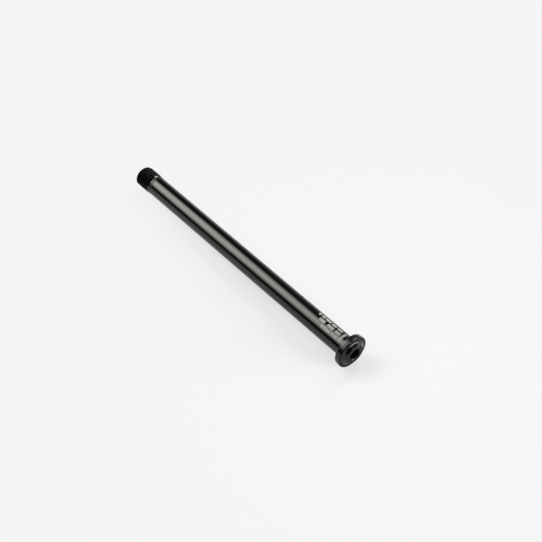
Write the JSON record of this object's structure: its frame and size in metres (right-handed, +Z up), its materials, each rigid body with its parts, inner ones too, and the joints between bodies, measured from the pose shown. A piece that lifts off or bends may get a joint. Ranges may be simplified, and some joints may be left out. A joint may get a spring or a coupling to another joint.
{
  "type": "bicycle thru axle",
  "caption": "Turned bicycle thru axle with a flanged hex-socket head, plain shaft and threaded tip; it slides through the hub and clamps the wheel in the frame.",
  "frame": {"origin": "on the surface the axle lies on, under the middle of its bounding box", "axes": "+X along the axle towards its head, +Z up; the axis rises towards the head by the angle at which the axle comes to rest"},
  "size_m": [0.1796, 0.0188, 0.0188],
  "materials": {
    "anodised": "black anodised, satin to semi-gloss, finely turned"
  },
  "bodies": {
    "root": {"axle": "anodised"}
  },
  "joints": []
}
